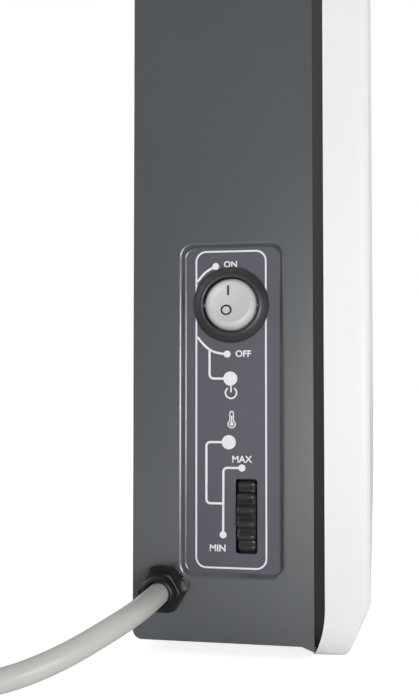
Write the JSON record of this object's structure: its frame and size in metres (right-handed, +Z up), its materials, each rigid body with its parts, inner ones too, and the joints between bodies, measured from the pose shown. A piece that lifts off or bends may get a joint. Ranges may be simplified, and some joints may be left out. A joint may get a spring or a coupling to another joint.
{
  "type": "electric convector heater",
  "caption": "Wall-hung electric convector heater: shallow white front panel on a slotted dark grey casing, with rocker switch, thermostat thumb wheel and mains cord on one end.",
  "frame": {"origin": "on the floor, under the middle of the heater and its wall bracket, without the mains cord", "axes": "+X along the heater away from the control end, +Y back to the wall, +Z up"},
  "size_m": [0.5591, 0.202, 0.4],
  "materials": {
    "panel_white": "satin white powder coat",
    "casing_grey": "fine textured dark grey powder coat",
    "frame_dark": "satin dark grey paint",
    "black_plastic": "half gloss black",
    "rocker_white": "half gloss milky white",
    "wheel_plastic": "matte black",
    "gland_nylon": "satin black nylon",
    "seal_rubber": "matte",
    "cord_grey": "satin grey PVC",
    "plug_grey": "satin grey moulding",
    "tie_black": "satin",
    "pin_nickel": "nickel plated",
    "zinc_steel": "zinc plated",
    "bracket_grey": "dark grey powder coat",
    "fin_aluminium": "extruded",
    "rod_steel": "oxidised sheath",
    "shield_aluminium": "bright foil sheet",
    "brass": "plain",
    "ceramic_white": "unglazed ceramic",
    "moulding_cream": "satin moulding",
    "copper": "bare copper",
    "wire_brown": "satin",
    "wire_blue": "satin",
    "wire_green": "satin"
  },
  "bodies": {
    "heater": {"front_panel": "panel_white", "joint_frame": "frame_dark", "casing_wrap": "casing_grey", "control_end_panel": "casing_grey", "plain_end_panel": "casing_grey", "wall_bracket": "bracket_grey", "end_panel_screws": "zinc_steel", "bracket_screws": "zinc_steel", "switch_housing": "black_plastic", "rocker_pin": "zinc_steel", "switch_terminals": "brass", "thermostat_bracket": "zinc_steel", "thermostat_body": "moulding_cream", "thermostat_terminals": "brass", "gland_body": "gland_nylon", "gland_cap": "gland_nylon", "gland_seal": "seal_rubber", "gland_locknut": "gland_nylon", "element_fins": "fin_aluminium", "element_rod": "rod_steel", "element_pins": "zinc_steel", "element_hanger_near": "zinc_steel", "element_hanger_far": "zinc_steel", "element_bushes": "ceramic_white", "heat_shield": "shield_aluminium", "overheat_cutout": "moulding_cream", "cutout_terminals": "brass", "terminal_block": "ceramic_white", "terminal_screws": "brass", "inner_cord": "cord_grey", "cord_cores": "wire_brown", "earth_stud": "brass", "earth_nut": "brass", "sensor_bulb": "copper", "sensor_clip": "moulding_cream", "capillary_tube": "copper", "wire_live": "wire_brown", "wire_switched": "wire_brown", "wire_heater": "wire_brown", "wire_neutral": "wire_blue", "wire_return": "wire_blue", "wire_earth": "wire_green", "mains_cord": "cord_grey", "cord_coil": "cord_grey", "cord_tie": "tie_black", "plug_body": "plug_grey", "plug_earth_contacts": "pin_nickel", "plug_pins": "pin_nickel"},
    "rocker": {"switch_rocker": "rocker_white"},
    "thumb_wheel": {"thermostat_wheel": "wheel_plastic", "thermostat_spindle": "zinc_steel"}
  },
  "joints": [
    {"name": "rocker_tilt", "type": "hinge", "parent": "heater", "child": "rocker", "pos_m": [-0.245, -0.0013, 0.1074], "axis": [0, 1, 0], "range_deg": [-18, 0]},
    {"name": "thermostat_turn", "type": "hinge", "parent": "heater", "child": "thumb_wheel", "pos_m": [-0.2316, -0.006, 0.0421], "axis": [0, 1, 0], "range_deg": [-135, 135]}
  ]
}
